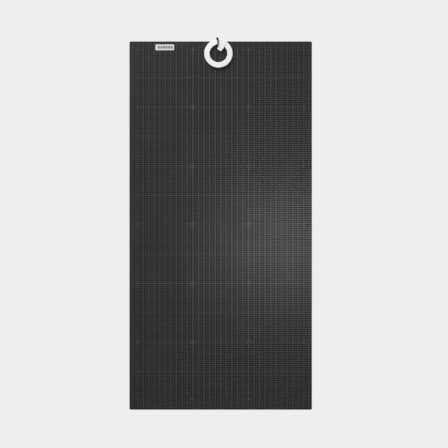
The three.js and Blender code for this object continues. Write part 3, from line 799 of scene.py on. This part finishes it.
# The thumb tab in (x, z) from the ring's centre, in millimetres; its faces and dimple in metres.
TAB_OUTLINE = [
    (1, 27.5), (-0.8, 21.6), (-3.8, 13.2), (6.9, 6.2), (14.3, 14.6), (16.4, 17.8), (16.5, 24),
]
TAB_CORNER = 1.0
TAB_CORNER_STEPS = 5
TAB_FRONT = ring_centre.y - 3 * MM
TAB_BACK = ring_centre.y + 2 * MM
DIMPLE_X, DIMPLE_Z = ring_centre.x + 5.3 * MM, ring_centre.z + 16.9 * MM
DIMPLE_RADIUS, DIMPLE_DEPTH = 1.5 * MM, 2.5 * MM


def rounded_outline(points, radius):
    """Replaces each corner of an outline by a short curve."""
    result = []
    count = len(points)
    for k in range(count):
        before, corner, after = (Vector(points[(k + d) % count]) for d in (-1, 0, 1))
        back, on = before - corner, after - corner
        reach = min(radius, back.length / 2.2, on.length / 2.2)
        start, end = corner + back.normalized() * reach, corner + on.normalized() * reach
        for t in np.linspace(0, 1, TAB_CORNER_STEPS + 1):
            result.append(tuple(start * (1 - t) ** 2 + corner * 2 * t * (1 - t) + end * t * t))
    return result


def thumb_tab():
    """The tab under the gate: rounded outline, with its front and back edges eased."""
    outline = rounded_outline(TAB_OUTLINE, TAB_CORNER)
    points = [(ring_centre.x + x * MM, ring_centre.z + z * MM) for x, z in outline]
    tab = prism("tab", points, TAB_FRONT, TAB_BACK)
    bevel(tab, 0.45 * MM, 3, 50)
    return apply_modifiers(tab)


def ring_gate_piece():
    """The band's closing piece with its tongue round the pin, its thumb tab and the tab's dimple."""
    half = RING_HALF_DEPTH
    gap = KNUCKLE_RADIUS + KNUCKLE_GAP
    gate = boolean(whole_band("ring_gate_body"), gate_space(-SEAM_GAP), "INTERSECT")
    boolean(gate, thumb_tab(), "UNION")
    boolean(gate, knuckle(gap, -2 * half, -TONGUE_HALF), "DIFFERENCE")
    boolean(gate, knuckle(gap, TONGUE_HALF, 2 * half), "DIFFERENCE")
    boolean(gate, knuckle(KNUCKLE_RADIUS, -TONGUE_HALF, TONGUE_HALF), "UNION")
    boolean(gate, knuckle(PIN_HOLE_RADIUS, -2 * half, 2 * half), "DIFFERENCE")
    front, back = TAB_FRONT - CUT_MARGIN, TAB_FRONT + DIMPLE_DEPTH
    boolean(gate, disc("dimple", DIMPLE_RADIUS, DIMPLE_X, DIMPLE_Z, front, back, 40), "DIFFERENCE")
    return crisp(gate, RING_EDGE_EASE)


def gate_pin_piece():
    """A riveted pin with domed ends."""
    radius = (pin_high.x - pin_low.x) / 2
    half = (pin_high.y - pin_low.y) / 2
    dome = 0.35 * MM
    profile = [(0.02 * MM, -half)]
    for t in np.linspace(0.3, math.pi / 2, 8):
        profile.append((radius * math.sin(t), dome - half - dome * math.cos(t)))
    mirrored = [(r, -y) for r, y in reversed(profile)]
    return turned("gate_pin_body", profile + mirrored, 40, pin_centre)


place(hang_ring_piece(), "ring", "ring_plastic", white_plastic, ["hang_ring"])
place(ring_gate_piece(), "gate", "ring_plastic", white_plastic, ["ring_gate"])
place(gate_pin_piece(), "ring", "steel", steel, ["gate_pin"])

# -------- link cord and eyelet

CORD_RADIUS = 2.0 * MM
# The braid spreads where it bends over the sheet's top edge.
BEND_SPREAD = 1.0 * MM
BEND_START = 2.5 * MM
BEND_LENGTH = 3 * MM
# The cord's route: x, y, and the height above the sheet's top edge, in millimetres. It is the CAD
# model's route, except that the bend over the top edge is 1.5 mm lower.
CORD_POINTS = [
    (-11, 4.5, -6.5), (-11.3, 4.5, -9.5), (-11.7, 4, -12), (-12, 1.8, -13.5), (-12, -1.25, -13.5),
    (-12, -5, -13.7), (-12, -9.5, -14.6), (-11.8, -12.3, -14.5), (-10.6, -13.9, -12.9),
    (-8.6, -14, -10.4), (-7.8, -13.9, -7), (-7.7, -13.8, -3), (-8.1, -13.8, 1), (-8.9, -14.2, 4.2),
    (-9.3, -13.4, 7), (-9.7, -9.8, 8.4), (-10.3, -5.5, 8.4), (-11, -0.8, 7.2), (-11.2, 2.8, 4.4),
    (-11.1, 4.4, 0), (-11, 4.5, -3.5),
]
KNOT_RADIUS = 1.15 * MM
KNOT_TURNS, KNOT_STEPS = 3, 14
KNOT_WRAP, KNOT_RISE = 2.6 * MM, 2.2 * MM


def cord_loop():
    """The cord through the eyelet and round the ring's band. Both its ends lie inside the knot."""
    points = [np.array((x, y, sheet_top / MM + z)) * MM for x, y, z in CORD_POINTS]
    path, length = smooth_path(points, 300)
    above = (np.array(path)[:, 2] - sheet_top - BEND_START) / BEND_LENGTH
    radius = CORD_RADIUS + BEND_SPREAD * np.clip(above, 0, 1)
    return swept_braid("cord_loop", path, length, radius)


def cord_knot():
    """A barrel knot: a tail that wraps round both ends of the cord."""
    centre = Vector((-11 * MM, 4.5 * MM, sheet_top - 5 * MM))
    points = [(0, 0, -3.2 * MM)]
    for k in range(KNOT_TURNS * KNOT_STEPS + 1):
        a = 2 * math.pi * k / KNOT_STEPS
        z = -KNOT_RISE * KNOT_TURNS / 2 + KNOT_RISE * KNOT_TURNS * k / (KNOT_TURNS * KNOT_STEPS)
        points.append((KNOT_WRAP * math.cos(a), KNOT_WRAP * math.sin(a), z))
    points.append((1.2 * MM, 1.2 * MM, 4.1 * MM))
    path, length = smooth_path([np.array(centre) + np.array(p) for p in points], 260)
    return swept_braid("cord_knot", path, length, KNOT_RADIUS, relief=0.1 * MM, sides=18)


def eyelet_piece():
    """Two rolled flanges on a barrel that closes round the cord."""
    hole = 2.2 * MM
    throat = 2.05 * MM
    flange = (eyelet_high.x - eyelet_low.x) / 2
    half = (eyelet_high.y - eyelet_low.y) / 2
    lip = 0.5 * MM
    roll = 0.3 * MM
    profile = [(throat, 0), (hole, -half / 2)]
    profile += arc((hole + lip, lip - half), lip, 180, 270, 6)
    profile += arc((flange - roll, roll - half), roll, 270, 360, 4)
    profile += [(flange, lip - half), (flange - 1.6 * MM, lip - half)]
    mirrored = [(r, -y) for r, y in reversed(profile[1:])]
    return smooth_by_angle(turned("eyelet_body", profile + mirrored, 64, eyelet_centre), 50)


loop = cord_loop()
place(loop, None, "cord", braid, ["link_cord"])
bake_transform(loop)
place(cord_knot(), "sheet", "cord", braid)
place(eyelet_piece(), "sheet", "eyelet", black_metal, ["eyelet"])

# -------- label

LABEL_CORNER = 1.2 * MM
MARK_WIDTHS = (7.4, 6.6, 7.4, 6.2, 6.9, 6.7)
MARK_START, MARK_GAP = 5.8 * MM, 0.9 * MM
MARK_LOW, MARK_HIGH = 0.24, 0.77


def label_film():
    """A thin film with rounded corners, pressed onto the weave."""
    outline = rounded_rectangle(label_low.x, label_low.z, label_high.x, label_high.z, LABEL_CORNER, 6)
    # The outline is reversed, so the film's faces point inwards.
    film = prism("label_film", outline[::-1], label_low.y, label_high.y)
    bevel(film, 0.06 * MM, 2, 50)
    return apply_modifiers(film)


def rectangle(left, right, low, high, y):
    """The corners of an upright rectangle at a depth y."""
    return [(left, y, low), (right, y, low), (right, y, high), (left, y, high)]


def blocks(name, pairs, quads, smooth):
    """One mesh of blocks, each with quads between the corners of two rectangles."""
    verts = [corner for front, back in pairs for corner in front + back]
    faces = [tuple(8 * number + k for k in quad) for number in range(len(pairs)) for quad in quads]
    return mesh_object(name, verts, faces, smooth)


def label_marks():
    """Plain grey blocks in place of any print."""
    height = label_high.z - label_low.z
    low, high = label_low.z + height * MARK_LOW, label_low.z + height * MARK_HIGH
    front, back = label_low.y - 0.02 * MM, label_low.y + 0.05 * MM
    left = label_low.x + MARK_START
    quads = ((0, 1, 2, 3), (7, 6, 5, 4), (0, 4, 5, 1), (1, 5, 6, 2), (2, 6, 7, 3), (3, 7, 4, 0))
    pairs = []
    for width in MARK_WIDTHS:
        right = left + width * MM
        pairs.append([rectangle(left, right, low, high, y) for y in (front, back)])
        left = right + MARK_GAP
    return blocks("label_marks", pairs, quads, smooth=False)


place(label_film(), "sheet", "label", white_label, ["label"])
place(label_marks(), "sheet", "label", grey_ink)

# -------- CAD nodes that stay


def dress(node, material, edge=0.0):
    """Gives a CAD node its material in its own slot, and eases its edges."""
    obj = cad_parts[node]
    obj.data.materials.clear()
    obj.data.materials.append(material)
    if edge:
        bevel(obj, edge)


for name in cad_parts:
    if name.startswith("cell_"):
        dress(name, cell)
for name in ("front_encapsulant", "rear_encapsulant"):
    dress(name, encapsulant)
for name in ("string_link_bottom", "string_link_top", "ribbon_plus", "ribbon_minus"):
    dress(name, tinned)
for name in ("terminal_plus", "terminal_mid", "terminal_minus"):
    dress(name, brass, 0.4 * MM)
for name in ("bypass_diode_1", "bypass_diode_2"):
    dress(name, diode_epoxy, 0.3 * MM)
dress("junction_box_base", black_plastic, 0.5 * MM)
dress("junction_box_seal", seal_foam, 0.15 * MM)

# -------- junction box

BOX_CORNER = 6 * MM
SKIRT_OUTER = 2.75 * MM
SKIRT_INNER = 4.25 * MM
NOTCH_PLACE, NOTCH_WIDTH, NOTCH_DEPTH = 34 * MM, 7 * MM, 0.7 * MM
RIB_PITCH, RIB_HALF, RIB_TAPER = 9 * MM, 1 * MM, 0.6 * MM
box_middle = (tray_low.x + tray_high.x) / 2


def box_loop(inset, y, parts=8):
    """A rounded rectangle round the box at a depth y, drawn in from its outside by inset."""
    corner = max(BOX_CORNER - inset, 0.4 * MM)
    low_x, low_z = tray_low.x + inset, tray_low.z + inset
    outline = rounded_rectangle(low_x, low_z, tray_high.x - inset, tray_high.z - inset, corner, parts)
    return [(x, y, z) for x, z in outline]


def lid_cover():
    """The lid: clip skirt, rounded edge, a groove, a raised panel, and notches for its clips."""
    under, top = tray_high.y + 1 * MM, lid_high.y
    edge = 0.9 * MM
    border = top - 0.4 * MM
    rings = [
        box_loop(SKIRT_INNER, under),
        box_loop(SKIRT_INNER, lid_low.y),
        box_loop(SKIRT_OUTER, lid_low.y),
        box_loop(SKIRT_OUTER, under),
        box_loop(0.25 * MM, under),
        box_loop(0, under + 0.25 * MM),
    ]
    for t in np.linspace(0, math.pi / 2, 6):
        rings.append(box_loop(edge - edge * math.cos(t), border - edge + edge * math.sin(t)))
    rings += [
        box_loop(4 * MM, border),
        box_loop(4.2 * MM, border - 0.35 * MM),
        box_loop(4.8 * MM, border - 0.35 * MM),
        box_loop(5.1 * MM, top - 0.15 * MM),
        box_loop(5.3 * MM, top),
    ]
    cover = lofted("lid_cover", rings)
    for side in (-1, 1):
        for z in (tray_low.z, tray_high.z):
            centre = box_middle + side * NOTCH_PLACE
            low = (centre - NOTCH_WIDTH / 2, under - CUT_MARGIN, z - NOTCH_DEPTH)
            high = (centre + NOTCH_WIDTH / 2, border - 0.5 * MM, z + NOTCH_DEPTH)
            boolean(cover, box_piece("notch", low, high), "DIFFERENCE")
    return smooth_by_angle(cover, 35)


def lid_ribs():
    """Raised ribs on the lid's panel, in a plain row, narrower at the top than at the root."""
    low, high = tray_low.z + 12 * MM, tray_high.z - 12 * MM
    root, top = lid_high.y - 0.2 * MM, lid_high.y + 0.35 * MM
    quads = ((3, 2, 1, 0), (4, 5, 6, 7), (0, 1, 5, 4), (1, 2, 6, 5), (2, 3, 7, 6), (3, 0, 4, 7))
    pairs = []
    for number in range(-4, 5):
        x = box_middle + number * RIB_PITCH
        foot = rectangle(x - RIB_HALF, x + RIB_HALF, low, high, root)
        crest = rectangle(x - RIB_TAPER, x + RIB_TAPER, low + RIB_TAPER, high - RIB_TAPER, top)
        pairs.append((foot, crest))
    return crisp(face_outward(blocks("lid_ribs", pairs, quads, smooth=True)), 0.15 * MM)


def sealant_bead():
    """Silicone pressed out round the box's foot, uneven along its run."""
    path = box_loop(-0.6 * MM, 0, 16)
    fine = []
    for k, point in enumerate(path):
        start, end = Vector(point), Vector(path[(k + 1) % len(path)])
        steps = max(1, int((end - start).length / (2.5 * MM)))
        fine += [start.lerp(end, t / steps) for t in range(steps)]
    count = len(fine)
    sides = 8
    verts = []
    for k, point in enumerate(fine):
        ahead = (fine[(k + 1) % count] - fine[k - 1]).normalized()
        out = Vector((ahead.z, 0, -ahead.x))
        # Two waves of different lengths keep the width from repeating.
        width = (1.9 + 0.35 * math.sin(k * 0.9) + 0.25 * math.sin(k * 0.37 + 1)) * MM
        for j in range(sides):
            a = math.pi * j / (sides - 1)
            rise = Vector((0, 0.05 * MM + width * 0.75 * math.sin(a), 0))
            verts.append(point + out * width * math.cos(a) + rise)
    bead = mesh_object("sealant_bead", verts, loop_faces(count, sides, joined=True))
    return smooth_by_angle(face_outward(bead), 60)


def turned_z(name, profile, x, y, sides=48, flutes=0, depth=0.0):
    """A body turned about a line along Z through (x, y). profile is (radius, z, fluted share)."""
    verts = []
    for k in range(sides):
        a = 2 * math.pi * k / sides
        for radius, z, share in profile:
            r = radius - depth * share * (0.5 - 0.5 * math.cos(flutes * a)) if flutes else radius
            verts.append((x + r * math.cos(a), y + r * math.sin(a), z))
    body = mesh_object(name, verts, loop_faces(sides, len(profile), joined=True))
    return smooth_by_angle(face_outward(body), 38)


DOME_HEIGHT = 6 * MM


def gland_pieces(node):
    """A cable gland: washer, chamfered hexagon, stem, fluted dome nut, and its rubber insert."""
    low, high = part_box(node)
    x = (low.x + high.x) / 2
    y = (low.y + high.y) / 2
    wall = tray_low.z
    bore = 3.75 * MM
    nut_low, nut_high, dome_top = wall - 7 * MM, wall - 1.5 * MM, low.z + DOME_HEIGHT
    hexagon = [
        (bore, nut_low, 0), (6.1 * MM, nut_low, 0), (7 * MM, wall - 6.4 * MM, 0),
        (7 * MM, wall - 2 * MM, 0), (6.3 * MM, nut_high, 0), (bore, nut_high, 0),
    ]
    nut = turned_z(node + "_nut", hexagon, x, y, 6)
    set_smooth(nut.data, False)
    bevel(nut, 0.3 * MM, 2)
    apply_modifiers(nut)
    washer = [
        (bore, nut_high, 0), (6.7 * MM, nut_high, 0), (6.9 * MM, wall - 1.2 * MM, 0),
        (6.9 * MM, wall, 0), (bore, wall, 0),
    ]
    stem = [
        (bore, wall - 0.2 * MM, 0), (5 * MM, wall - 0.2 * MM, 0),
        (5 * MM, high.z, 0), (bore, high.z, 0),
    ]
    dome = [(bore + 0.9 * MM, low.z + 0.9 * MM, 0), (bore + 1 * MM, low.z, 0)]
    for t in np.linspace(0.2, math.pi / 2, 6):
        reach = bore + (0.7 + 1.55 * math.sin(t)) * MM
        dome.append((reach, low.z + (2.2 - 2.2 * math.cos(t)) * MM, 0.2 + 0.8 * t / (math.pi / 2)))
    dome += [(6.25 * MM, low.z + 5.4 * MM, 1), (6.0 * MM, dome_top, 0), (bore + 0.9 * MM, dome_top, 0)]
    insert = [
        (bore, low.z + 0.7 * MM, 0), (bore + 0.3 * MM, low.z + 0.4 * MM, 0),
        (bore + 0.95 * MM, low.z + 0.5 * MM, 0), (bore + 0.95 * MM, dome_top, 0),
        (bore, dome_top, 0),
    ]
    place(nut, "sheet", "gland", black_nylon, [node])
    place(turned_z(node + "_washer", washer, x, y), "sheet", "seal", seal_foam)
    place(turned_z(node + "_stem", stem, x, y), "sheet", "gland", black_nylon)
    place(turned_z(node + "_dome", dome, x, y, 144, 18, 0.45 * MM), "sheet", "gland", black_nylon)
    place(turned_z(node + "_insert", insert, x, y), "sheet", "seal", seal_foam)


place(lid_cover(), "sheet", "box_plastic", black_plastic, ["junction_box_lid"])
place(lid_ribs(), "sheet", "box_plastic", black_plastic)
place(sealant_bead(), "sheet", "seal", sealant)
for gland in ("gland_plus", "gland_minus"):
    gland_pieces(gland)

# -------- camera, light and floor

BACKDROP = 0.855
WORLD_LOW = 0.08
WORLD_HIGH = 0.5
CAMERA_LENS = 85
CAMERA_SENSOR = 36
CAMERA_DISTANCE = 3.131
CAMERA_X, CAMERA_Z = 0.0098, 0.0047
FLOOR_RADIUS, FLOOR_Z = 3.0, -1.27
FLOOR_FADE = (1.0, 2.7)
# Each light's name, place, target, size in metres and power in watts.
LIGHTS = (
    ("sheen_box", (0.36, -3.1, -0.09), (0.2, 0, 0), (0.4, 0.4), 23),
    ("top_box", (-0.6, -1.1, 1.7), (0, 0, 0.3), (1.2, 0.8), 30),
    ("rear_box", (-1.4, 2.0, 1.9), (0, 0, 0.3), (1.0, 1.0), 60),
    ("rear_side_box", (1.6, 1.6, 0.3), (0, 0, 0.3), (0.6, 1.2), 22),
)


def make_camera():
    """Straight in front of the sheet, far back, as the photograph shows it."""
    data = bpy.data.cameras.new("camera")
    data.lens = CAMERA_LENS
    data.sensor_width = CAMERA_SENSOR
    camera = bpy.data.objects.new("camera", data)
    camera.location = (CAMERA_X, sheet_low.y - CAMERA_DISTANCE, CAMERA_Z)
    camera.rotation_euler = (math.pi / 2, 0, 0)
    scene.collection.objects.link(camera)
    scene.camera = camera


def area_light(name, place, target, size, power):
    """A rectangular soft box at a place, turned towards a target."""
    data = bpy.data.lights.new(name, "AREA")
    data.shape = "RECTANGLE"
    data.size, data.size_y = size
    data.energy = power
    light = bpy.data.objects.new(name, data)
    light.location = place
    light.rotation_euler = (Vector(target) - Vector(place)).to_track_quat("-Z", "Y").to_euler()
    scene.collection.objects.link(light)


def make_world():
    """A pale backdrop for the camera, and softer light for the object: bright overhead and dim below."""
    world = bpy.data.worlds.new("studio")
    scene.world = world
    world.use_nodes = True
    tree = world.node_tree
    background = tree.nodes["Background"]
    path = tree.nodes.new("ShaderNodeLightPath")
    coordinates = tree.nodes.new("ShaderNodeTexCoord")
    split = tree.nodes.new("ShaderNodeSeparateXYZ")
    tree.links.new(coordinates.outputs["Generated"], split.inputs[0])
    overhead = tree.nodes.new("ShaderNodeMapRange")
    overhead.inputs["From Min"].default_value = -0.3
    overhead.inputs["From Max"].default_value = 0.9
    overhead.inputs["To Min"].default_value = WORLD_LOW
    overhead.inputs["To Max"].default_value = WORLD_HIGH
    tree.links.new(split.outputs["Z"], overhead.inputs["Value"])
    tone = tree.nodes.new("ShaderNodeMix")
    tone.inputs["B"].default_value = BACKDROP
    tree.links.new(path.outputs["Is Camera Ray"], tone.inputs["Factor"])
    tree.links.new(overhead.outputs[0], tone.inputs["A"])
    tree.links.new(tone.outputs[0], background.inputs["Color"])


def make_floor():
    """A pale floor far below the hanging sheet, fading into the backdrop."""
    floor = disc("floor", FLOOR_RADIUS, 0, 0, 0, 0.02, 96)
    floor.data.transform(Matrix.Rotation(-math.pi / 2, 4, "X"))
    floor.data.transform(Matrix.Translation((0, 0, FLOOR_Z)))
    g = Graph("floor", 0.8, 0.2)
    g.colour((0.82, 0.82, 0.82, 1))
    distance = g.math("SQRT", g.add(g.times(g.x, g.x), g.times(g.y, g.y)))
    g.feed(g.shader.inputs["Alpha"], g.ramp(distance, *FLOOR_FADE, 1, 0))
    floor.data.materials.append(g.material)


make_camera()
make_world()
make_floor()
for light in LIGHTS:
    area_light(*light)
scene.view_settings.view_transform = "Standard"
scene.view_settings.look = "None"
